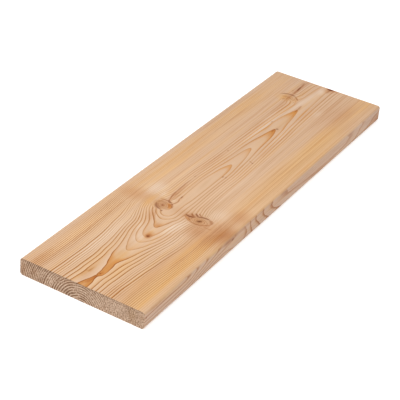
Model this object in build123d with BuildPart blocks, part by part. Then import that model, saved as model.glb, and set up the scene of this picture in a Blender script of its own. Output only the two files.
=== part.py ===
from build123d import *
import os

# A planed softwood plank, sawn and moulded from one log, lying flat on its lower face.
# Its length runs along X, its width along Y and its thickness up Z.
# The origin is at the middle of the lower face.

# Driving dimensions, in millimetres
plank_length = 500.0
plank_width = 140.0
plank_thickness = 19.0
arris_radius = 3.0  # rounding that the planer leaves along the four long edges

# The rounding can't be larger than half of the narrow side of the section
section_limit = 0.499 * min(plank_width, plank_thickness)
section_radius = min(arris_radius, section_limit)

# The plank: one rounded section, the same all the way along, cut off square at both ends
with BuildPart() as plank:
    with BuildSketch(Plane.YZ.offset(-plank_length / 2)) as section:
        with Locations((0, plank_thickness / 2)):
            RectangleRounded(plank_width, plank_thickness, section_radius)
    extrude(amount=plank_length)

plank.part.label = "plank"

os.makedirs("parts", exist_ok=True)
export_step(plank.part, "parts/plank.step")

size = plank.part.bounding_box().size
print(f"plank {size.X:.1f} x {size.Y:.1f} x {size.Z:.1f} mm, volume {plank.part.volume / 1000:.1f} cm3")
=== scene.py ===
import math
import bpy
from mathutils import Matrix, Vector


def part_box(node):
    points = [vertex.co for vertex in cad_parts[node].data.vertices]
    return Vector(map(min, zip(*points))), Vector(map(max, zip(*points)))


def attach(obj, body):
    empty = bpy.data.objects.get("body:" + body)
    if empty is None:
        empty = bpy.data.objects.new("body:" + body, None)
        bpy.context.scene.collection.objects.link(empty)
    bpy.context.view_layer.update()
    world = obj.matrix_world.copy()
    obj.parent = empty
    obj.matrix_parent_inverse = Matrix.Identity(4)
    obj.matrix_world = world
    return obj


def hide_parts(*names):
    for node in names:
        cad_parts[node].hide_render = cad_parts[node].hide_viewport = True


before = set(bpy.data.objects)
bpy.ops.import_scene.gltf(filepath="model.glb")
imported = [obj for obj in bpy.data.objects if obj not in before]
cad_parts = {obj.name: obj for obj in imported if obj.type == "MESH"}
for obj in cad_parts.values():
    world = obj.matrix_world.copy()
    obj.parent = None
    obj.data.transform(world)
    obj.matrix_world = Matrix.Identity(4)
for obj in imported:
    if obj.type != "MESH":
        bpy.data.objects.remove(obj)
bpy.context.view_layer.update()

# A planed softwood board. Lengths are in millimetres up to the mesh, which is in metres like the frame.
boardLow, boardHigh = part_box("plank")
length, width, thickness = ((high - low) * 1000 for low, high in zip(boardLow, boardHigh))

# The view: the camera looks at a point on the board's middle line, from the near end's right
view = {
    "target": (-45.1, -3.1, 9.5),
    "azimuth": 28.603,
    "elevation": 32.35,
    "roll": 5.462,
    "distance": 1362.7,
    "lens": 118.85,
    "sensor": 36,
}

studio = {
    "skyStrength": 0.62,
    "keyPower": 9.0,
    "keyPlace": (-0.55, 0.35, 1.5),
    "keySize": 1.1,
    "floorColor": (0.88, 0.88, 0.88, 1),
    "floorGlow": 0.55,
    "floorReach": 4.0,
}

# How the log grew, as curves of points. Most are read along the board, where x runs from -250 at the near
# end to 250 at the far end: how deep the pith lies and how far aside, how strong the lines are near the
# middle, at the rims and on the right edge, and how much resin and gold they have. ringLaw gives the ring
# number at a distance from the pith, and ringStrength and farRings say how dark each ring is.
log = {
    "pithDepth": [(-250, 25.85), (-241, 26.1), (-235, 26.35), (-230, 26.4), (-226, 26.25), (-221, 26.17),
                  (-210, 26.13), (-201, 25.9), (-190, 24.9), (-176, 23.7), (-160, 21.2), (-140, 17.2),
                  (-125, 15.6), (-110, 13.5), (-97, 10.85), (-90, 10.75), (-82, 10.3), (-72, 9.5), (-60, 8.8),
                  (-30, 8.35), (0, 9.2), (22, 10.8), (64, 13.3), (112, 15.7), (130, 16.5), (150, 17.5),
                  (172, 18.5), (230, 19.9), (250, 20.2)],
    "pithAside": [(-250, 0.4), (-240, 0.1), (-225, -0.5), (-210, -1.2), (-190, -2.0), (-165, -2.6),
                  (-140, -2.4), (-125, -1.2), (-95, 0.3), (-60, 1.3), (-30, 1.5), (0, 0.5), (22, 0.2),
                  (64, 0.9), (112, 1.5), (140, 2.1), (172, 2.4), (230, 2.4), (250, 1.0)],
    "coreShift": [(-250, -1.4), (-238, -2.3), (-230, -2.8), (-224, -4.3), (-217, -3.4), (-208, -1.9),
                  (-196, 0.0), (0, 0.1), (22, -0.3), (64, 0.1), (112, -1.5), (140, 0.7), (172, 0.0),
                  (250, 0.0)],
    "ringLaw": [(0, 0), (8, 3), (10.8, 4), (26.4, 10), (28.7, 11), (31.0, 12), (33.45, 13), (35.3, 14),
                (36.7, 15), (38.6, 16), (40.7, 17), (43.45, 18), (45.5, 19), (47.4, 20), (60, 26.8),
                (85, 39.5)],
    "ringStrength": [(0, 0.8), (3, 0.8), (4, 0.95), (5, 0.75), (6, 0.95), (7, 0.7), (8, 0.75), (9, 0.75),
                     (10, 1.0), (13, 0.95), (14, 0.3), (15, 0.75), (16, 0.75), (17, 0.9), (18, 1.15),
                     (19, 0.35), (21, 0.45), (22, 0.7), (24, 1.1), (27, 1.1), (29, 0.7), (31, 0.45),
                     (40, 0.4)],
    "farRings": [(0, 0.8), (3, 0.8), (4, 0.6), (5, 0.75), (6, 1.05), (7, 0.5), (8, 0.4), (9, 1.0),
                 (10, 0.9), (11, 0.35), (12, 0.3), (13, 0.6), (14, 0.3), (16, 0.5), (18, 0.3), (21, 0.5),
                 (24, 0.9), (27, 0.9), (30, 0.4), (40, 0.4)],
    "coreStrength": [(-250, 1.25), (-215, 1.15), (-190, 0.95), (-165, 0.8), (-130, 0.62), (-50, 0.48),
                     (0, 0.4), (60, 0.34), (170, 0.34), (220, 0.5), (250, 0.5)],
    "rimStrength": [(-250, 0.95), (-130, 0.8), (-100, 0.55), (-60, 0.32), (250, 0.26)],
    "resin": [(-250, 1.1), (-197, 1.05), (-186, 0.38), (-165, 0.15), (-128, 0.45), (-112, 0.25),
              (-60, 0.15), (-10, 0.4), (20, 0.75), (45, 0.25), (62, 0.6), (85, 0.85), (118, 1.0),
              (145, 0.6), (172, 1.0), (195, 0.35), (250, 0.25)],
    "goldRight": [(-250, 0.5), (-235, 0.75), (-150, 0.75), (-115, 0.4), (-80, 0.05), (-50, 0.4), (0, 0.6),
                  (50, 0.8), (110, 0.85), (160, 0.7), (200, 0.4), (235, 0.5), (250, 0.4)],
    "goldLeft": [(-250, 0.0), (-180, 0.05), (-110, 0.2), (-75, 0.3), (0, 0.35), (60, 0.3), (110, 0.35),
                 (145, 0.5), (190, 0.25), (250, 0.1)],
    "sideRings": [(-250, 5.3), (-183, 5), (-161, 4), (-142, 3), (-121, 2), (-92, 1), (-80, 0.7), (-67, 1),
                  (-57, 2), (-46, 3), (-31, 4), (-13, 5), (15, 6), (45, 6.24), (75, 6.46), (100, 6.53),
                  (135, 6.4), (163, 6.14), (173, 6), (201, 5), (225, 4.4), (250, 4)],
    "sideStrength": [(-250, 0.8), (-120, 0.75), (-76, 0.4), (-67, 0.6), (-57, 0.95), (-5, 0.95), (15, 0.6),
                     (60, 0.5), (150, 0.45), (175, 0.5), (250, 0.55)],
}

# Limbs that the saw cut through: place on the face, lean for each millimetre upward, radius, ring number
# at the limb's skin, how tightly the rings close on it, how far it blends, and how dark its middle is
knots = {
    "left": {"at": (-89.5, 15.5, 19), "lean": (0.2, 0.9), "size": 7.2, "level": 3.0, "squeeze": 0.9,
             "blend": 2.5, "fill": 0.45, "heart": 0.0},
    "right": {"at": (-92.5, -29.0, 19), "lean": (-0.15, -1.6), "size": 7.4, "level": 5.5, "squeeze": 0.55,
              "blend": 2.5, "fill": 0.1, "heart": 0.0},
    "pinNear": {"at": (-146, -4.6, 19), "lean": (0.1, -0.1), "size": 2.0, "level": 6.4, "squeeze": 1.0,
                "blend": 1.5, "fill": 0.0, "heart": 0.0},
    "farLeft": {"at": (198.5, 23, 19), "lean": (0.2, 1.2), "size": 5.5, "level": 8.5, "squeeze": 0.6,
                "blend": 2.5, "fill": 0.1, "heart": 0.0},
    "farEnd": {"at": (248.5, -4.5, 19), "lean": (0.1, -0.6), "size": 3.4, "level": 7.0, "squeeze": 0.8,
               "blend": 2.0, "fill": 0.6, "heart": 0.3},
    "underside": {"at": (64, -19, 0), "lean": (0.3, 1.9), "size": 6.0, "level": 5.0, "squeeze": 0.6,
                  "blend": 2.5, "fill": 0.7, "heart": 0.9},
}

# Where a limb lifts the rings round it outwards: place, reach and by how many rings
swells = {
    "left": {"at": (-94, 24), "reach": (37, 34), "lift": 3.0},
    "right": {"at": (-86, -36), "reach": (21, 30), "lift": 1.4},
    "rightWide": {"at": (-90, -30), "reach": (66, 34), "lift": 0.8},
    "farLeft": {"at": (199, 26), "reach": (19, 21), "lift": 1.3},
}

# Finishes of the bare wood, and dyes that deepen or lighten it: each channel is multiplied by its number
wood = {
    "early": (0.835, 0.555, 0.355, 1),
    "end": (0.70, 0.48, 0.335, 1),
}
dyes = {
    "late": (0.60, 0.40, 0.18, 1),
    "lateSoft": (0.88, 0.77, 0.58, 1),
    "pale": (1.14, 1.32, 1.58, 1),
    "cream": (1.06, 1.10, 1.14, 1),
    "gold": (1.05, 0.95, 0.66, 1),
    "amber": (0.93, 0.66, 0.32, 1),
    "honey": (1.12, 1.07, 0.90, 1),
    "tan": (0.90, 0.84, 0.74, 1),
    "rust": (0.81, 0.62, 0.46, 1),
    "brown": (0.62, 0.41, 0.27, 1),
    "umber": (0.44, 0.25, 0.17, 1),
    "ash": (0.94, 0.97, 1.05, 1),
    # a grey dimming: painted shade where it darkens the far end of the top, and a darker tone of the wood in
    # the patches that use it
    "toneAndShade": (0.92, 0.915, 0.93, 1),
    "blush": (0.97, 1.03, 1.24, 1),
    "rose": (0.66, 0.45, 0.34, 1),
    "soot": (0.46, 0.36, 0.28, 1),
    "chalk": (1.32, 1.42, 1.50, 1),
}

# Soft patches on the top face: middle, reach along and across, turn in degrees, dye, strength, softness
patches = [
    ((-242, 54), (30, 13), 0, "rust", 0.4, 1.0),
    ((-180, 51.5), (80, 9), 0, "cream", 0.9, 1.0),
    ((-180, 52), (84, 12), 0, "honey", 0.6, 1.0),
    ((-172, 31), (92, 14), 3, "cream", 1.0, 1.0),
    ((-175, 27), (88, 8), 2, "pale", 0.35, 1.0),
    ((-240, -33), (24, 16), 0, "rust", 0.25, 1.0),
    ((-210, 14), (50, 11), 0, "gold", 0.35, 1.0),
    ((-210, -16), (50, 11), 0, "gold", 0.35, 1.0),
    ((-192, -2), (20, 9), 0, "gold", 0.5, 0.8),
    ((-187, -2), (14, 9), 0, "tan", 0.5, 0.7),
    ((-118, -17), (28, 9), -12, "pale", 0.95, 0.9),
    ((-142, -28), (40, 11), -6, "pale", 0.35, 1.0),
    ((-152, 1), (15, 9), 0, "pale", 0.5, 1.0),
    ((-137, 11), (16, 6), 30, "pale", 0.4, 0.9),
    ((-195, -43), (90, 9), 0, "rust", 0.35, 1.0),
    ((-104, -58), (34, 20), 0, "rust", 0.88, 1.0),
    ((-97, -65), (24, 11), 0, "rust", 0.7, 1.0),
    ((-128, -50), (34, 14), 0, "rust", 0.35, 1.0),
    ((-108, -37), (22, 15), 0, "rust", 0.75, 1.0),
    ((-104, -60), (44, 13), 0, "toneAndShade", 0.9, 1.0),
    ((-163, -51), (26, 7), 0, "rust", 0.3, 1.0),
    ((-86, -56), (22, 18), 0, "rust", 0.3, 1.0),
    ((-144, -4.4), (11, 6.5), 5, "rust", 1.0, 1.0),
    ((-143, -4.4), (12, 7), 5, "gold", 0.5, 1.0),
    ((-124, -2.5), (9, 5), 0, "rust", 0.55, 1.0),
    ((-110, 14), (20, 7), 18, "rust", 0.5, 1.0),
    ((-92, 30), (22, 9), 10, "gold", 0.7, 1.0),
    ((-89, 48), (18, 28), 0, "rust", 0.55, 1.0),
    ((-90, -18), (10, 11), 0, "rust", 0.6, 1.0),
    ((-91, -31), (14, 19), 0, "rust", 0.35, 1.0),
    ((-89, 15), (14, 13), 0, "rust", 0.45, 1.0),
    ((-66, 36), (19, 16), 0, "pale", 0.6, 0.9),
    ((-72, 24), (9, 6), 0, "pale", 0.5, 1.0),
    ((-35, 33), (50, 10), 0, "cream", 0.6, 1.0),
    ((-76.6, 10), (4, 2), -8, "pale", 0.6, 0.8),
    ((-60, 15.6), (32, 4.6), 3, "rust", 0.6, 1.0),
    ((-72, -40), (19, 16), -25, "pale", 0.4, 1.0),
    ((-62, -60), (24, 15), 0, "rust", 0.75, 1.0),
    ((-238, 3), (22, 9), 0, "rust", 0.3, 1.0),
    ((-213, -40), (34, 9), 0, "gold", 0.35, 1.0),
    ((190, -27), (60, 10), 0, "rust", 0.22, 1.0),
    ((180, -60), (40, 9), 0, "rust", 0.2, 1.0),
    ((95, -52), (80, 9), 0, "pale", 0.12, 1.0),
    ((130, 13), (70, 6), -3, "pale", 0.25, 1.0),
    ((-30, 1.3), (24, 5), 3, "tan", 0.55, 1.0),
    ((0, -27), (90, 9), 0, "pale", 0.2, 1.0),
    ((140, 20), (34, 8), -5, "pale", 0.2, 1.0),
    ((112, 13), (60, 7), -3, "pale", 0.35, 1.0),
    ((-89, -5), (13, 34), 0, "rust", 0.3, 1.0),
    ((-93, -29), (10, 16), 0, "gold", 0.35, 1.0),
    ((172, 9), (40, 6), -4, "pale", 0.35, 1.0),
    ((122, -11), (70, 5), 6, "pale", 0.3, 1.0),
    ((208, 5), (52, 7), -5, "pale", 0.5, 1.0),
    ((238, 1), (16, 7), 8, "pale", 0.6, 1.0),
    ((184, -21), (14, 7), 0, "pale", 0.35, 1.0),
    ((116, -1), (24, 6), 0, "rust", 0.35, 1.0),
    ((140, -1), (44, 8), 0, "tan", 0.4, 1.0),
    ((222, 15), (32, 8), 0, "rust", 0.2, 1.0),
    ((188, -42), (62, 14), 0, "rust", 0.25, 1.0),
    ((178, 3), (20, 4), 0, "rust", 0.4, 1.0),
    ((216, 25.5), (52, 5), 1, "rust", 0.7, 1.0),
    ((196, 28), (13, 18), 0, "gold", 0.8, 1.0),
    ((170, 23), (34, 8), 0, "rust", 0.3, 1.0),
    ((202, -43), (50, 14), 0, "rust", 0.3, 1.0),
    ((245, 30), (26, 40), 0, "ash", 0.6, 1.0),
    ((247, -5), (14, 11), 0, "rust", 0.8, 1.0),
]

# Spots on the top face: middle, reach along and across, turn in degrees, dye, strength
spots = [
    ((-90.1, 14.6), (3.0, 2.4), 30, "brown", 0.85),
    ((-224.5, -4.6), (6, 2.2), -8, "rust", 0.7),
    ((-86.5, 8.2), (3.4, 2.2), 35, "rust", 0.5),
    ((-89.6, 10.6), (4.6, 3.2), 15, "cream", 0.6),
    ((-99.4, 10), (1.8, 1.5), 0, "umber", 0.9),
    ((-66, 6.9), (4.0, 1.0), 8, "umber", 0.85),
    ((-69, 6.4), (9, 2.4), 4, "rust", 0.4),
    ((-92.4, -30.4), (8.0, 5.4), -52, "rust", 0.35),
    ((-92.4, -30.4), (4.4, 2.8), -52, "soot", 1.0),
    ((-92.4, -30.6), (2.6, 1.6), -52, "brown", 0.5),
    ((-95, -21), (1.8, 1.3), 0, "brown", 0.6),
    ((-91.9, -24.2), (2.6, 3.0), 0, "cream", 0.7),
    ((-96.4, -37.6), (3.2, 3.4), 0, "cream", 0.9),
    ((-86.8, -32.2), (1.6, 2.2), 0, "cream", 0.7),
    ((-145.6, -4.6), (5.8, 4.4), 0, "brown", 0.75),
    ((-146.3, -4.8), (2.4, 2.2), 0, "umber", 0.7),
    ((-225, -3.9), (1.8, 1.2), 0, "umber", 0.7),
    ((-4.7, -5.9), (2.4, 1.2), -12, "umber", 0.8),
    ((-4.2, -9), (2.2, 1.1), 10, "umber", 0.7),
    ((39.2, -16.8), (1.8, 1.3), 0, "umber", 0.7),
    ((46, 18), (2.0, 1.0), 0, "brown", 0.7),
    ((134, 11.8), (3.0, 1.2), 0, "brown", 0.8),
    ((-22, 18), (3.0, 1.0), 0, "brown", 0.6),
    ((122.8, -1.1), (2.4, 2.0), 0, "umber", 0.75),
    ((191.7, 28.2), (3.0, 1.8), -10, "brown", 0.6),
    ((194.6, 25.4), (2.0, 1.6), 0, "brown", 0.4),
    ((198.4, 28), (3.0, 2.2), 0, "cream", 0.5),
    ((217, 29.3), (3.0, 1.6), 0, "brown", 0.35),
    ((190.5, 14.3), (3.2, 0.9), 5, "brown", 0.5),
    ((248.6, -5.6), (4.4, 6.8), 0, "umber", 0.85),
]

# Curved strokes on the top face: start, middle, end, half width, dye, strength
strokes = [
    ((-250, 47.9), (-150, 48.6), (-30, 50.4), 1.1, "brown", 0.4),
    ((-80, 50.6), (60, 50.6), (200, 51.6), 0.9, "brown", 0.2),
    ((-190, -51.2), (0, -51.8), (240, -49.2), 0.9, "brown", 0.2),
    ((-246, -0.6), (-237, -2.2), (-228, -3.6), 2.6, "rust", 0.8),
    ((-97.2, 10.6), (-95.4, 18.8), (-86.6, 22.8), 2.2, "umber", 0.7),
    ((-94.6, 11.4), (-93.0, 18.0), (-87.0, 19.8), 1.0, "brown", 0.6),
    ((-88.6, 22.6), (-84.8, 20.4), (-83.0, 17.0), 1.5, "brown", 0.6),
    ((-92.6, 5.4), (-87.3, 7.8), (-82.6, 12.4), 2.8, "amber", 0.9),
    ((-91.2, 3.3), (-85.4, 6.2), (-80.9, 10.2), 1.5, "brown", 0.8),
    ((-82.4, 8.4), (-80.6, 12.2), (-78.6, 14.6), 2.1, "umber", 0.8),
    ((-80.2, 13.0), (-80.2, 18.2), (-82.0, 23.0), 1.4, "brown", 0.8),
    ((-80.6, 13.0), (-70.0, 15.9), (-56.0, 17.7), 1.3, "brown", 0.85),
    ((-62.0, 17.4), (-46.0, 17.9), (-24.0, 18.0), 1.1, "brown", 0.6),
    ((-80.0, 12.8), (-69.0, 13.5), (-56.0, 14.6), 0.9, "brown", 0.4),
    ((-79.6, 12.2), (-70.0, 11.0), (-57.0, 11.0), 0.9, "brown", 0.55),
    ((-81.8, 10.0), (-77.8, 5.9), (-62.0, 7.0), 1.3, "brown", 0.85),
    ((-104.0, 13.8), (-113.0, 9.0), (-123.0, 3.0), 1.0, "brown", 0.3),
    ((-89.2, -13.0), (-90.6, -18.5), (-87.4, -25.6), 1.9, "umber", 0.85),
    ((-88.0, -23.5), (-84.3, -31.0), (-84.8, -39.5), 1.8, "umber", 0.8),
    ((-85.0, -37.0), (-87.0, -41.2), (-92.0, -44.0), 2.8, "brown", 0.7),
    ((-94.0, -14.0), (-98.8, -27.0), (-96.4, -38.5), 1.5, "rust", 0.65),
    ((-97.0, -18.0), (-99.6, -28.0), (-97.2, -37.5), 0.8, "brown", 0.25),
    ((-92.6, -14.0), (-95.2, -19.0), (-97.2, -24.6), 1.8, "amber", 0.5),
    ((-98.0, -34.0), (-95.2, -39.6), (-90.4, -43.2), 1.6, "rust", 0.9),
    ((-98.0, -38.6), (-98.8, -44.0), (-97.8, -50.0), 1.1, "rust", 0.7),
    ((-83.8, -16.8), (-86.8, -18.9), (-87.8, -23.0), 1.4, "brown", 0.9),
    ((-81.6, -19.4), (-84.4, -22.6), (-86.2, -25.8), 1.7, "umber", 0.85),
    ((-79.6, -23.0), (-82.7, -25.9), (-84.2, -29.8), 1.3, "brown", 0.75),
    ((41.8, -11.2), (40.8, -13.8), (39.0, -17.2), 0.8, "brown", 0.7),
    ((112.0, 0.4), (117.5, 0.9), (123.0, -0.2), 1.2, "brown", 0.7),
    ((168.0, 2.2), (180.0, 2.3), (192.0, 3.2), 1.5, "brown", 0.6),
    ((199.4, 39.0), (206.4, 28.0), (203.2, 16.4), 1.8, "umber", 0.75),
    ((204.6, 19.6), (201.6, 15.6), (197.4, 12.2), 1.6, "brown", 0.8),
    ((196.0, 33.0), (199.0, 26.0), (195.4, 17.0), 1.1, "brown", 0.5),
    ((249.0, 0.0), (247.6, -8.0), (246.8, -19.0), 1.6, "rust", 0.8),
    ((236.0, -5.0), (243.0, -5.4), (250.0, -6.0), 1.4, "brown", 0.5),
    ((209.0, 24.4), (226.0, 25.4), (252.0, 27.4), 1.9, "brown", 0.7),
    ((218.0, 25.0), (225.6, 25.4), (232.0, 26.3), 1.3, "umber", 0.7),
]

# Soft patches on the right edge, by x and height, in the same form as on the top
edgePatches = [
    ((-103, 15.2), (14, 3.4), 0, "brown", 0.6, 0.9),
    ((-93, 14.6), (3.4, 2.4), 10, "umber", 0.7, 0.9),
    ((-214, 16.5), (46, 3.4), 0, "gold", 0.7, 1.0),
    ((-232, 16.5), (26, 2.8), 0, "rust", 0.55, 1.0),
    ((-222, 11), (46, 4), 0, "cream", 1.0, 1.0),
    ((-236, 8), (24, 6), 0, "pale", 0.35, 1.0),
    ((-211, 3), (20, 3.6), 0, "pale", 0.5, 1.0),
    ((-128, 17), (26, 2.8), 0, "gold", 0.7, 1.0),
    ((-86, 3), (50, 4), 0, "tan", 0.5, 1.0),
    ((195, 3), (60, 4.4), 0, "toneAndShade", 1.0, 1.0),
    ((222, 10), (30, 6), 0, "toneAndShade", 0.9, 1.0),
    ((-215, 4), (30, 4), 0, "cream", 0.8, 1.0),
    ((-208, 1.5), (32, 2.4), 2, "rust", 0.35, 1.0),
    ((-90, 16.5), (22, 4), 0, "rust", 0.35, 1.0),
    ((112, 15.0), (80, 3.6), 0, "honey", 0.35, 1.0),
    ((205, 2), (52, 4), 0, "tan", 0.7, 1.0),
    ((-226, 10.2), (22, 1.0), 0, "brown", 0.5, 1.0),
    ((180, 3.2), (7, 2.6), 20, "rust", 0.5, 1.0),
    ((246, 4), (18, 10), 15, "rose", 0.7, 1.0),
    ((-247, 12), (1.6, 1.4), 0, "umber", 0.9, 0.9),
    ((88, 6.5), (40, 3.0), 0, "rust", 0.5, 1.0),
    ((0, 19), (280, 2.8), 0, "gold", 0.4, 1.0),
    ((236, 5), (26, 9), 12, "rust", 0.5, 1.0),
    ((30, 14.6), (26, 2.6), -6, "tan", 0.25, 1.0),
]

# Soft patches and curved strokes on the near end, by y and height, in the same forms
endPatches = [
    ((34, 8), (7, 9), 0, "chalk", 0.35, 1.0),
    ((-17, 7), (8, 8), 20, "chalk", 0.4, 1.0),
    ((-38, 10), (13, 11), 0, "chalk", 0.22, 1.0),
    ((-57, 10), (8, 14), 0, "tan", 0.9, 1.0),
    ((66, 9), (6, 12), 0, "rust", 0.45, 1.0),
    ((-67, 13), (6, 7), 0, "rust", 0.3, 1.0),
    ((54, 10), (9, 12), 0, "rust", 0.3, 1.0),
    ((14, 15), (10, 6), 0, "rust", 0.35, 1.0),
    ((1.9, 8.3), (1.6, 1.2), 0, "soot", 0.8, 0.9),
]
endStrokes = [
    ((60.2, 17.6), (61.6, 13.4), (63.5, 10.5), 0.7, "soot", 0.6),
    ((52.3, 18.4), (55.5, 10.6), (56.0, 3.0), 0.8, "soot", 0.8),
    ((47.6, 18.4), (52.0, 12.0), (53.4, 6.0), 0.7, "soot", 0.7),
    ((34.0, 18.6), (38.3, 13.4), (39.9, 4.0), 0.7, "soot", 0.6),
    ((20.5, 17.6), (26.6, 11.0), (29.9, 6.0), 0.7, "soot", 0.5),
    ((9.0, 12.5), (3.0, 9.2), (0.0, 11.0), 0.7, "soot", 0.5),
    ((-51.4, 18.6), (-53.2, 13.4), (-54.2, 2.0), 0.8, "soot", 0.55),
]

# A smooth step stays within its range by itself, so its node needs no clamp. With one, Cycles would hold
# every mark's value until the end, and it has no room for that many.
smooth = {"interpolation_type": "SMOOTHSTEP", "clamp": False}


class Flow:
    # wraps a socket, so that sums on it are written as plain expressions
    def __init__(self, tree, socket):
        self.tree = tree
        self.socket = socket

    def node(self, kind, settings, values, output=0):
        made = self.tree.nodes.new(kind)
        for name, setting in settings.items():
            if name == "curve":
                drawCurve(made.mapping, *setting)
            else:
                setattr(made, name, setting)
        for key, value in values.items():
            if isinstance(value, Flow):
                self.tree.links.new(value.socket, made.inputs[key])
            else:
                made.inputs[key].default_value = value
        return Flow(self.tree, made.outputs[output])

    def math(self, operation, *others):
        return self.node("ShaderNodeMath", {"operation": operation}, dict(enumerate((self,) + others)))

    def vector(self, operation, other=(0, 0, 0), output=0):
        return self.node("ShaderNodeVectorMath", {"operation": operation}, {0: self, 1: other}, output)

    def parts(self):
        split = self.node("ShaderNodeSeparateXYZ", {}, {0: self})
        return [Flow(self.tree, socket) for socket in split.socket.node.outputs]

    def __add__(self, other):
        return self.math("ADD", other)

    def __sub__(self, other):
        return self.math("SUBTRACT", other)

    def __rsub__(self, other):
        return self.node("ShaderNodeMath", {"operation": "SUBTRACT"}, {0: other, 1: self})

    def __mul__(self, other):
        return self.math("MULTIPLY", other)

    def __truediv__(self, other):
        return self.math("DIVIDE", other)

    def __rtruediv__(self, other):
        return self.node("ShaderNodeMath", {"operation": "DIVIDE"}, {0: other, 1: self})

    __radd__ = __add__
    __rmul__ = __mul__

    def step(self, start, end):
        # 0 up to start and 1 from end, with a smooth rise between them, or the other way round
        if start < end:
            values = {"Value": self, "From Min": start, "From Max": end}
        else:
            values = {"Value": self, "From Min": end, "From Max": start, "To Min": 1, "To Max": 0}
        return self.node("ShaderNodeMapRange", smooth, values)

    def noise(self, sizes, detail=2, roughness=0.5):
        # noise from 0 to 1 over a place, of a given size along each axis
        stretched = self.vector("MULTIPLY", [1 / size for size in sizes])
        return self.node("ShaderNodeTexNoise", {}, {"Vector": stretched, "Scale": 1, "Detail": detail,
                                                    "Roughness": roughness})

    def tint(self, factor, color, blend="MIX"):
        # this colour with another one laid over it
        return self.node("ShaderNodeMix", {"data_type": "RGBA", "blend_type": blend},
                         {0: factor, 6: self, 7: color}, 2)

    def dyed(self, factor, dye):
        return self.tint(factor, dyes[dye], "MULTIPLY")


def drawCurve(mapping, points, handles):
    line = mapping.curves[0]
    for place, height in points[1:-1]:
        line.points.new(place, height)
    line.points[0].location = points[0]
    line.points[len(line.points) - 1].location = points[-1]
    for point in line.points:
        point.handle_type = handles
    mapping.update()


def readCurve(where, points, handles="AUTO_CLAMPED"):
    # the height at a place of a curve that is given by its points (place, height)
    heights = [height for place, height in points]
    start, span = points[0][0], points[-1][0] - points[0][0]
    low, rise = min(heights), max(heights) - min(heights)
    shares = [((place - start) / span, (height - low) / rise) for place, height in points]
    share = (where - start) / span
    return share.node("ShaderNodeFloatCurve", {"curve": (shares, handles)}, {"Value": share}) * rise + low


def limbDistance(place, knot):
    # distance from the middle line of a limb
    direction = Vector((knot["lean"][0], knot["lean"][1], 1)).normalized()
    return place.vector("SUBTRACT", knot["at"]).vector("CROSS_PRODUCT", direction).vector("LENGTH", output=1)


def markTree():
    # a node group for every soft mark: an ellipse on a face, or a bent and blunter one, which is 1 near
    # its middle and 0 from its rim on and within the wood below
    tree = bpy.data.node_groups.new("softMark", "ShaderNodeTree")
    for name in ("Along", "Aside", "Deep", "Along U", "Aside U", "Start U", "Along V", "Aside V", "Start V",
                 "Bend", "Blunt", "Core", "Amount"):
        tree.interface.new_socket(name, in_out="INPUT", socket_type="NodeSocketFloat")
    tree.interface.new_socket("Cover", in_out="OUTPUT", socket_type="NodeSocketFloat")
    entry = tree.nodes.new("NodeGroupInput")
    given = {socket.name: Flow(tree, socket) for socket in entry.outputs if socket.name}
    u = given["Along"] * given["Along U"] + given["Aside"] * given["Aside U"] + given["Start U"]
    v = given["Along"] * given["Along V"] + given["Aside"] * given["Aside V"] + given["Start V"]
    square = u * u
    v = v + square * given["Bend"]
    away = (square * ((square - 1) * given["Blunt"] + 1) + v * v + given["Deep"]).math("SQRT")
    fade = {"Value": away, "From Min": given["Core"], "From Max": 1, "To Min": 1, "To Max": 0}
    cover = away.node("ShaderNodeMapRange", smooth, fade) * given["Amount"]
    leave = tree.nodes.new("NodeGroupOutput")
    tree.links.new(cover.socket, leave.inputs[0])
    return tree


def softMark(face, middle, reach, turn, values):
    # places a mark on a face
    group = bpy.data.node_groups.get("softMark") or markTree()
    cosine, sine = math.cos(turn), math.sin(turn)
    values = {"Along": face[0], "Aside": face[1], "Deep": face[2], **values}
    values["Along U"], values["Aside U"] = cosine / reach[0], sine / reach[0]
    values["Start U"] = -(middle[0] * cosine + middle[1] * sine) / reach[0]
    values["Along V"], values["Aside V"] = -sine / reach[1], cosine / reach[1]
    values["Start V"] = (middle[0] * sine - middle[1] * cosine) / reach[1]
    return face[0].node("ShaderNodeGroup", {"node_tree": group}, values)


def softSpot(face, middle, reach, turn=0, softness=0.9, amount=1.0):
    return softMark(face, middle, reach, math.radians(turn), {"Core": 1 - softness, "Amount": amount})


def softStroke(face, start, middle, end, halfWidth, amount):
    # a curved stroke through three places
    run = Vector(end) - Vector(start)
    across = Vector((-run.y, run.x)).normalized()
    bend = (Vector(middle) - (Vector(start) + Vector(end)) / 2).dot(across)
    return softMark(face, middle, (run.length / 2, halfWidth), math.atan2(run.y, run.x),
                    {"Bend": bend / halfWidth, "Blunt": 1.0, "Core": 0.25, "Amount": amount})


# What varies in the wood by chance: its size along the board, across it and up through it
variation = {
    "waver": (9, 6, 6),
    "drift": (80, 14, 14),
    "along": (45, 3, 3),
    "streak": (150, 7, 7),
    "fibre": (18, 0.45, 0.45),
    "thread": (110, 1.5, 1.5),
    "grain": (70, 0.9, 0.9),
    "grit": (1, 1.5, 1.3),
    "blotch": (1, 9, 7),
    "sawn": (1, 0.6, 5),
    "tear": (1, 1.25, 1.25),
}

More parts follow.
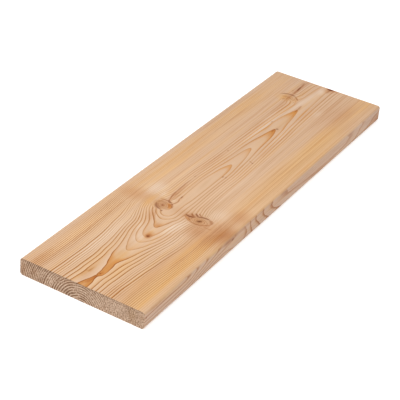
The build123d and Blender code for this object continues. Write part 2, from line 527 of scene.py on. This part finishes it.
# How strongly each tone shows, how rough the wood is and how far its relief stands out. The bump's depth is
# in metres, because Blender works it out in the scene's own unit.
look = {
    "goldStreak": 0.45,
    "tanStreak": 0.5,
    # painted shade that darkens the far end of the top
    "leftRim": 0.7,
    "farEndShade": 0.8,
    "ringShade": 0.6,
    "ringPale": 0.22,
    "knotRings": 0.5,
    "edgeBlush": 0.7,
    "threads": 0.36,
    "threadsNear": 0.1,
    "threadsStain": 0.5,
    "grainDark": 0.4,
    "grainPale": 0.35,
    "fibre": 0.2,
    "endBlotchDark": 0.45,
    "endBlotchPale": 0.3,
    "endSawMarks": 0.45,
    "endTop": 0.7,
    "roughness": 0.54,
    "fibreRoughness": 0.12,
    "lineGloss": 0.06,
    "endRoughness": 0.25,
    "fibreRelief": 0.35,
    "lineRelief": 0.4,
    "endRelief": 2.0,
    "bump": 0.5,
    "bumpDepth": 0.0002,
    "specular": 0.12,
}
ringsPerMillimetre = 0.42  # straight out from the pith
knotRingGap = 1.7
markReach = 9.0  # a mark on a face fades out within this depth
markWaver = 1.8  # how far the wood's waver moves a mark's rim
upperPart = (8, 14)  # heights between which the limbs of the top face give way to those of the lower face
edgeTurn = (-68.2, -69.7)  # where the right edge's own lines take over from the top's
tongueTip = 16.5  # height at which the tongues of the rings on the right edge end
tongueReach = 4
edgeRing = 28  # year ring from which those on the right edge are counted


def growth(place, limbs):
    # the number of the year ring at a place, with its fraction, and how many rings there are to a
    # millimetre along the top face
    x, y, z = place.parts()
    aside = y - readCurve(x, log["pithAside"])
    aside = aside - readCurve(x, log["coreShift"]) * aside.math("ABSOLUTE").step(11, 6)
    above = z - thickness + readCurve(x, log["pithDepth"])
    radius = (aside * aside + above * above).math("SQRT")
    rings = readCurve(radius, log["ringLaw"], "VECTOR")
    upper = z.step(*upperPart)
    for swell in swells.values():
        rings = rings - softSpot((x, y, 0.0), swell["at"], swell["reach"], 0, 1, swell["lift"]) * upper
    for name, knot in knots.items():
        hidden = upper * 60 if knot["at"][2] == 0 else (1 - upper) * 60
        skin = (limbs[name] - knot["size"]) / knot["squeeze"] + knot["level"] + hidden
        rings = rings.math("SMOOTH_MIN", skin, knot["blend"])
    # the right edge is sawn nearly along the rings, which show there as long tongues
    rise = (z - tongueTip) / tongueReach
    tongue = (rise * rise + 1).math("SQRT") - 1
    tongueLift = x.step(-70, -120) * 1.1 + x.step(-70, -40) * 0.3
    sideRings = readCurve(x, log["sideRings"]) - tongue * tongueLift + edgeRing
    rings = rings + (sideRings - rings) * y.step(-67, -69.6)
    drift = place.noise(variation["drift"]) - 0.5
    rings = rings + drift * (radius.step(8, 60) * 0.8 + 0.1)
    slant = aside / radius
    density = (slant * slant + 0.006).math("SQRT") * ringsPerMillimetre
    return rings, density


def larchWood():
    material = bpy.data.materials.new("larchWood")
    material.use_nodes = True
    tree = material.node_tree
    surface = tree.nodes["Principled BSDF"]
    entry = Flow(tree, tree.nodes.new("ShaderNodeTexCoord").outputs["Object"])
    place = entry.node("ShaderNodeVectorMath", {"operation": "SCALE"}, {0: entry, "Scale": 1000})
    x, y, z = place.parts()
    # marks lie on a face, waver a little and fade out below it
    waver = (place.noise(variation["waver"]) - 0.5) * markWaver
    below, inward = (z - thickness) / markReach, (y + width / 2) / markReach
    topFace = (x, y + waver, below * below)
    rightFace = (x, z + waver * 0.6, inward * inward)
    limbs = {name: limbDistance(place, knot) for name, knot in knots.items()}
    rings, density = growth(place, limbs)
    share = (rings - 0.03).math("FRACT")
    finish = 1 - share.step(0.985, 1.0)
    upper = z.step(*upperPart)
    side = y.step(*edgeTurn)
    # latewood darkens towards the ring's outer edge, where it stops sharply
    lineWidth = (ringsPerMillimetre / density).math("MINIMUM", 1.25)
    brown = ((1 - share) / density / lineWidth).step(1.25, 0.4) * finish
    band = (share + x.step(-60, -120) * 0.06).step(0.68, 0.95) * finish * z.step(18.6, 16.2)
    brown = brown * y.step(-69, -66.5)
    brown = brown + (band - brown) * side
    offAxis = y.math("ABSOLUTE")
    rim = readCurve(x, log["rimStrength"]) * (1 - y.step(0, -40) * 0.3)
    core = readCurve(x, log["coreStrength"]) * (offAxis.step(13, 4) * x.step(-120, -20) * 0.5 + 1)
    across = core + (rim - core) * offAxis.step(36, 43)
    across = across + softSpot((x, y, 0.0), (-114, 6), (40, 26), 0, 1, 0.4)
    across = across * (1 - softSpot((x, y, 0.0), (-74, 11.5), (10, 9), 0, 0.6))
    across = across * (1 - softSpot((x, y, 0.0), (-99, 5), (13, 10), 0, 1, 0.55))
    across = across + (readCurve(x, log["sideStrength"]) - across) * side
    along = place.noise(variation["along"]) * 0.9 + 0.55
    ownRings = readCurve(rings, log["ringStrength"])
    ownRings = ownRings + (readCurve(rings, log["farRings"]) - ownRings) * x.step(-95, -30)
    strength = ownRings * across * along
    strength = strength + (across - strength) * side
    resin = readCurve(x, log["resin"]) * rings.step(11.5, 9) * upper + 0.08
    streak = place.noise(variation["streak"], 3)
    fibre = place.noise(variation["fibre"])
    color = place.node("ShaderNodeRGB", {}, {})
    color.socket.default_value = wood["early"]
    color = color.dyed(streak.step(0.45, 0.75) * look["goldStreak"], "gold")
    uneven = streak * 0.9 + 0.55
    color = color.dyed(y.step(-36, -52) * y.step(-71, -58) * readCurve(x, log["goldRight"]) * uneven, "gold")
    color = color.dyed(y.step(40, 48) * y.step(70, 55) * readCurve(x, log["goldLeft"]) * uneven, "gold")
    color = color.dyed(y.step(60, 67) * upper * look["leftRim"], "ash")
    # painted shade: the top face darkens toward the far end, standing in for light that falls off there
    color = color.dyed(x.step(-80, 140) * upper * look["farEndShade"], "toneAndShade")
    color = color.dyed(streak.step(0.5, 0.25) * look["tanStreak"], "tan")
    color = color.dyed(share.step(0.35, 0.95) * finish * strength * strength * look["ringShade"], "lateSoft")
    color = color.dyed(share.step(0.4, 0.02) * strength * (1 - side) * look["ringPale"], "pale")
    for middle, reach, turn, dye, amount, softness in patches:
        color = color.dyed(softSpot(topFace, middle, reach, turn, softness, amount), dye)
    color = color.dyed(share.step(0.5, 0.95) * finish * resin, "amber")
    color = color.dyed(brown * strength * (1 - side), "late")
    color = color.dyed(brown * strength * side, "rose")
    for name, knot in knots.items():
        away = limbs[name]
        own = upper if knot["at"][2] > 0 else 1 - upper
        inside = away.step(knot["size"] + 0.4, knot["size"] - 0.8) * own
        turns = (away / knotRingGap + streak).math("FRACT")
        color = color.dyed(inside * knot["fill"], "tan")
        lines = inside * turns.step(0.3, 0.9) * turns.step(1.0, 0.93)
        color = color.dyed(lines * look["knotRings"], "brown")
        if knot["heart"]:
            color = color.dyed(away.step(3.4, 1.4) * own * knot["heart"], "umber")
    for start, middle, end, halfWidth, dye, amount in strokes:
        color = color.dyed(softStroke(topFace, start, middle, end, halfWidth, amount), dye)
    for middle, reach, turn, dye, amount in spots:
        color = color.dyed(softSpot(topFace, middle, reach, turn, 0.85, amount), dye)
    # the planed edges are duller, and the right one has marks of its own
    color = color.dyed(offAxis.step(69.1, 69.9) * look["edgeBlush"], "blush")
    for middle, reach, turn, dye, amount, softness in edgePatches:
        color = color.dyed(softSpot(rightFace, middle, reach, turn, softness, amount), dye)
    grain = place.noise(variation["grain"], 3, 0.6)
    threads = place.noise(variation["thread"])
    ruddy = x.step(-110, -40) * offAxis.step(4, 16) * look["threads"] + look["threadsNear"]
    ruddy = ruddy + softSpot((x, y, 0.0), (-104, -52), (44, 26), 0, 1, look["threadsStain"])
    color = color.dyed(threads.step(0.5, 0.68) * ruddy, "rust")
    color = color.dyed(threads.step(0.5, 0.32) * ruddy, "cream")
    color = color.dyed(grain.step(0.5, 0.75) * look["grainDark"], "tan")
    color = color.dyed(grain.step(0.5, 0.25) * look["grainPale"], "cream")
    color = color.dyed(fibre.step(0.5, 0.8) * look["fibre"], "tan")
    color = color.dyed(fibre.step(0.5, 0.2) * look["fibre"], "cream")
    # the sawn ends: rings in strong contrast, torn fibres and saw marks
    endFace = Flow(tree, tree.nodes.new("ShaderNodeAttribute").outputs["Fac"])
    endFace.socket.node.attribute_name = "endFace"
    grit = place.noise(variation["grit"], 2, 0.6)
    blotch = place.noise(variation["blotch"])
    sawn = place.noise(variation["sawn"])
    endColor = place.node("ShaderNodeRGB", {}, {})
    endColor.socket.default_value = wood["end"]
    endRings = (share.step(0.2, 0.8) * finish - 0.4) * (blotch.step(0.3, 0.6) * y.step(-35, 5) * 0.75 + 0.25)
    endTone = endRings * (ownRings * 0.3 + 0.22) + grit
    endColor = endColor.dyed(endTone.step(0.5, 0.68), "soot")
    endColor = endColor.dyed(endTone.step(0.48, 0.3), "chalk")
    endColor = endColor.dyed(blotch.step(0.5, 0.72) * y.step(-30, 10) * look["endBlotchDark"], "soot")
    endColor = endColor.dyed(blotch.step(0.5, 0.3) * y.step(0, -30) * look["endBlotchPale"], "chalk")
    endColor = endColor.dyed(sawn.step(0.52, 0.75) * look["endSawMarks"], "soot")
    endColor = endColor.dyed(z.step(15.5, 19) * (1 - blotch) * look["endTop"], "soot")
    # the near end's own marks fade out within a few millimetres of it
    nearEnd = (y, z + waver * 0.4, x.step(-249, -240) * 4)
    for middle, reach, turn, dye, amount, softness in endPatches:
        endColor = endColor.dyed(softSpot(nearEnd, middle, reach, turn, softness, amount), dye)
    for start, middle, end, halfWidth, dye, amount in endStrokes:
        endColor = endColor.dyed(softStroke(nearEnd, start, middle, end, halfWidth, amount), dye)
    color = color.tint(endFace, endColor)
    tree.links.new(color.socket, surface.inputs["Base Color"])
    roughness = fibre * look["fibreRoughness"] - brown * look["lineGloss"] + endFace * look["endRoughness"]
    roughness = roughness + look["roughness"]
    tree.links.new(roughness.socket, surface.inputs["Roughness"])
    planed = fibre * look["fibreRelief"] + brown * strength * look["lineRelief"]
    height = planed * (1 - endFace) + (grit + sawn) * endFace * look["endRelief"]
    bump = height.node("ShaderNodeBump", {}, {"Strength": look["bump"], "Distance": look["bumpDepth"],
                                              "Height": height})
    tree.links.new(bump.socket, surface.inputs["Normal"])
    surface.inputs["Specular IOR Level"].default_value = look["specular"]
    return material


# The board's own inputs: cells are counted along each direction, and a tear or dish is how deep it goes
boardInputs = {
    "Length": length,
    "Width": width,
    "Thickness": thickness,
    "Arris": 3.0,
    "Arris Cells": 7,
    "Cells Long": 241,
    "Cells Wide": 121,
    "Cells High": 27,
    "Tear Depth": 0.3,
    "Tear Seed": 7.0,
    "Knot Dish": 0.15,
}
sharpAngle = 40  # edges that turn by more than this many degrees stay crisp


def boardTree(inputs):
    # Geometry Nodes: a gridded block whose four long edges are rounded
    tree = bpy.data.node_groups.new("boardShape", "GeometryNodeTree")
    for name, value in inputs.items():
        kind = "NodeSocketInt" if isinstance(value, int) else "NodeSocketFloat"
        tree.interface.new_socket(name, in_out="INPUT", socket_type=kind).default_value = value
    tree.interface.new_socket("Wood", in_out="INPUT", socket_type="NodeSocketMaterial")
    tree.interface.new_socket("Board", in_out="OUTPUT", socket_type="NodeSocketGeometry")
    entry = tree.nodes.new("NodeGroupInput")
    given = {socket.name: Flow(tree, socket) for socket in entry.outputs if socket.name}
    start = given["Length"]
    block = start.node("GeometryNodeMeshCube", {}, {"Size": (1, 1, 1), "Vertices X": given["Cells Long"],
                       "Vertices Y": given["Cells Wide"], "Vertices Z": given["Cells High"]})
    facing = start.node("GeometryNodeInputNormal", {}, {})
    isEnd = start.node("ShaderNodeSeparateXYZ", {}, {0: facing}, 0).math("ABSOLUTE").math("GREATER_THAN", 0.7)
    block = block.node("GeometryNodeStoreNamedAttribute", {"data_type": "FLOAT", "domain": "FACE"},
                       {"Geometry": block, "Name": "endFace", "Value": isEnd})
    grid = start.node("GeometryNodeInputPosition", {}, {})
    u = grid.node("ShaderNodeSeparateXYZ", {}, {0: grid}, 0)
    v = grid.node("ShaderNodeSeparateXYZ", {}, {0: grid}, 1)
    w = grid.node("ShaderNodeSeparateXYZ", {}, {0: grid}, 2)
    # the cells grow shorter towards the ends, where the saw tore the wood
    x = (u * 1.35 - u * u * u * 1.4) * given["Length"]

    def acrossArris(share, size, cells):
        # spreads the cells of one direction, with the given number of them within each rounded edge
        reach = share.math("ABSOLUTE") * 2
        flat = 1 - given["Arris Cells"] * 2 / (cells - 1)
        core = size / 2 - given["Arris"]
        inner = reach.math("MINIMUM", flat) / flat * core
        outer = (reach - flat).math("MAXIMUM", 0) / (1 - flat) * given["Arris"]
        return share.math("SIGN"), inner, outer

    ySign, yCore, yOuter = acrossArris(v, given["Width"], given["Cells Wide"])
    zSign, zCore, zOuter = acrossArris(w, given["Thickness"], given["Cells High"])
    reach = (yOuter * yOuter + zOuter * zOuter).math("SQRT").math("MAXIMUM", 1e-6)
    pull = yOuter.math("MAXIMUM", zOuter) / reach
    y = ySign * (yCore + yOuter * pull)
    z = zSign * (zCore + zOuter * pull) + given["Thickness"] / 2
    # the saw tore the ends a little, and the knots stand slightly below the planed face
    seeded = start.node("ShaderNodeCombineXYZ", {}, {0: given["Tear Seed"], 1: y, 2: z})
    torn = seeded.noise(variation["tear"], 2, 0.6).step(0.4, 0.75) * given["Tear Depth"]
    x = x - u.math("SIGN") * torn * (u.math("ABSOLUTE") * 2).math("GREATER_THAN", 0.999)
    for name in ("left", "right", "farLeft"):
        aside, across = x - knots[name]["at"][0], y - knots[name]["at"][1]
        dish = (aside * aside + across * across).math("SQRT").step(knots[name]["size"] + 1.5, 0.8)
        z = z - dish * w.math("GREATER_THAN", 0.499) * given["Knot Dish"]
    place = start.node("ShaderNodeCombineXYZ", {}, {0: x, 1: y, 2: z})
    metres = start.node("ShaderNodeVectorMath", {"operation": "SCALE"}, {0: place, "Scale": 0.001})
    board = block.node("GeometryNodeSetPosition", {}, {"Geometry": block, "Position": metres})
    board = board.node("GeometryNodeSetMaterial", {}, {"Geometry": board, "Material": given["Wood"]})
    board = board.node("GeometryNodeRealizeInstances", {}, {"Geometry": board})
    leave = tree.nodes.new("NodeGroupOutput")
    tree.links.new(board.socket, leave.inputs[0])
    return tree


def makeBoard(material):
    tree = boardTree(boardInputs)
    board = bpy.data.objects.new("board", bpy.data.meshes.new("board"))
    bpy.context.scene.collection.objects.link(board)
    shape = board.modifiers.new("shape", "NODES")
    shape.node_group = tree
    for item in tree.interface.items_tree:
        if item.in_out == "INPUT":
            shape[item.identifier] = material if item.name == "Wood" else boardInputs[item.name]
    bpy.context.view_layer.update()
    ready = board.evaluated_get(bpy.context.evaluated_depsgraph_get())
    mesh = bpy.data.meshes.new_from_object(ready)
    board.modifiers.remove(shape)
    board.data = mesh
    mesh.name = "board"
    mesh.shade_smooth()
    mesh.set_sharp_from_angle(angle=math.radians(sharpAngle))
    return board


def placeCamera():
    azimuth, elevation = math.radians(view["azimuth"]), math.radians(view["elevation"])
    forward = Vector((math.cos(elevation) * math.cos(azimuth), math.cos(elevation) * math.sin(azimuth),
                      -math.sin(elevation)))
    turn = forward.to_track_quat("-Z", "Y").to_matrix().to_4x4()
    roll = Matrix.Rotation(math.radians(view["roll"]), 4, "Z")
    camera = bpy.data.objects.new("camera", bpy.data.cameras.new("camera"))
    camera.data.lens = view["lens"]
    camera.data.sensor_width = view["sensor"]
    target = Vector(view["target"]) / 1000
    camera.matrix_world = Matrix.Translation(target - forward * view["distance"] / 1000) @ turn @ roll
    bpy.context.scene.collection.objects.link(camera)
    bpy.context.scene.camera = camera


def whiteBehind(tree):
    # rays from the camera, reflections and clear bodies see the lit surface lifted to white
    path = tree.nodes.new("ShaderNodeLightPath")
    seen = Flow(tree, path.outputs["Is Camera Ray"])
    seen = seen.math("MAXIMUM", Flow(tree, path.outputs["Is Glossy Ray"]))
    return seen.math("MAXIMUM", Flow(tree, path.outputs["Is Transmission Ray"]))


def makeStudio():
    scene = bpy.context.scene
    scene.view_settings.view_transform = "Standard"
    world = bpy.data.worlds.new("softSky")
    world.use_nodes = True
    scene.world = world
    sky = world.node_tree.nodes["Background"]
    seen = whiteBehind(world.node_tree)
    strength = seen * (1 - studio["skyStrength"]) + studio["skyStrength"]
    sky.inputs["Color"].default_value = (1, 1, 1, 1)
    world.node_tree.links.new(strength.socket, sky.inputs["Strength"])
    lamp = bpy.data.lights.new("softKey", "AREA")
    lamp.energy = studio["keyPower"]
    lamp.shape = "DISK"
    lamp.size = studio["keySize"]
    key = bpy.data.objects.new("softKey", lamp)
    key.location = studio["keyPlace"]
    key.rotation_euler = (-Vector(studio["keyPlace"])).to_track_quat("-Z", "Y").to_euler()
    scene.collection.objects.link(key)
    floorMesh = bpy.data.meshes.new("floor")
    reach = studio["floorReach"]
    corners = [(-reach, -reach, 0), (reach, -reach, 0), (reach, reach, 0), (-reach, reach, 0)]
    floorMesh.from_pydata(corners, [], [(0, 1, 2, 3)])
    floor = bpy.data.objects.new("floor", floorMesh)
    scene.collection.objects.link(floor)
    material = bpy.data.materials.new("paleFloor")
    material.use_nodes = True
    tree = material.node_tree
    paint = tree.nodes["Principled BSDF"]
    paint.inputs["Base Color"].default_value = studio["floorColor"]
    paint.inputs["Roughness"].default_value = 1
    paint.inputs["Specular IOR Level"].default_value = 0
    paint.inputs["Emission Color"].default_value = (1, 1, 1, 1)
    glow = whiteBehind(tree) * studio["floorGlow"]
    glowShader = glow.node("ShaderNodeEmission", {}, {"Color": (1, 1, 1, 1), "Strength": glow})
    whole = glow.node("ShaderNodeAddShader", {}, {0: Flow(tree, paint.outputs[0]), 1: glowShader})
    tree.links.new(whole.socket, tree.nodes["Material Output"].inputs["Surface"])
    floorMesh.materials.append(material)


placeCamera()
print("camera placed")
makeStudio()
print("studio lit")
board = makeBoard(larchWood())
print("board made,", len(board.data.polygons), "faces")
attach(board, "root")
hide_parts("plank")
